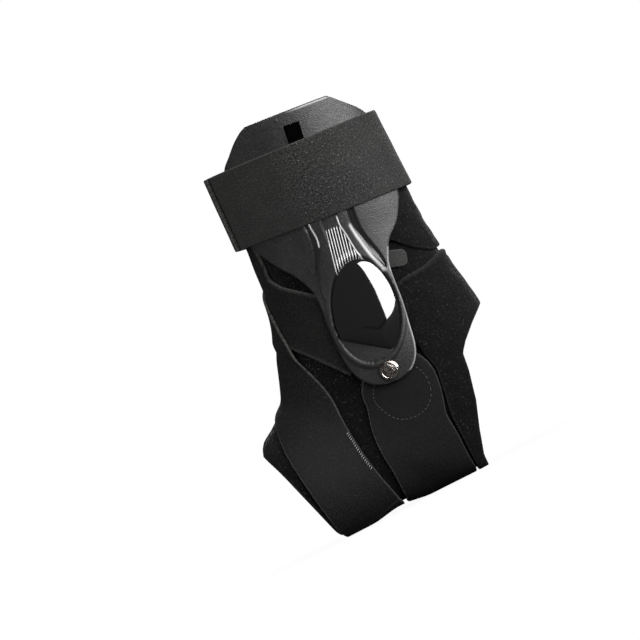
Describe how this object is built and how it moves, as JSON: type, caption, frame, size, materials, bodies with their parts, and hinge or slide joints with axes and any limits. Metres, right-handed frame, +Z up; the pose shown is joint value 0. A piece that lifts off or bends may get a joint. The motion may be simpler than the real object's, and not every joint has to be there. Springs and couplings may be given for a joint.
{
  "type": "strap ankle support with two side plates",
  "caption": "Worn ankle support: soft wrap open at toes and heel, stirrup and crossing straps, calf band and two riveted side plates.",
  "frame": {"origin": "on the floor, on the flat of the sole straight below the rivets", "axes": "+Z up the leg, -X towards the toes, -Y the inner side of the ankle"},
  "size_m": [0.1483, 0.097, 0.2298],
  "materials": {
    "fleece": "brushed loop cloth over thin foam",
    "webbing": "flat woven webbing",
    "elastic": "ribbed woven elastic",
    "moulded_plastic": "fine sandblasted moulding",
    "polished_plastic": "high gloss",
    "nickel": "polished"
  },
  "bodies": {
    "root": {"foot_wrap": "fleece", "heel_panel": "fleece", "rear_flap": "fleece", "closure_tab": "webbing", "stirrup_strap": "webbing", "cross_strap": "elastic", "front_strap": "elastic", "calf_band": "elastic", "inner_plate": "moulded_plastic", "inner_dome": "polished_plastic", "inner_rivet": "nickel", "outer_plate": "moulded_plastic", "outer_dome": "polished_plastic", "outer_rivet": "nickel"}
  },
  "joints": []
}
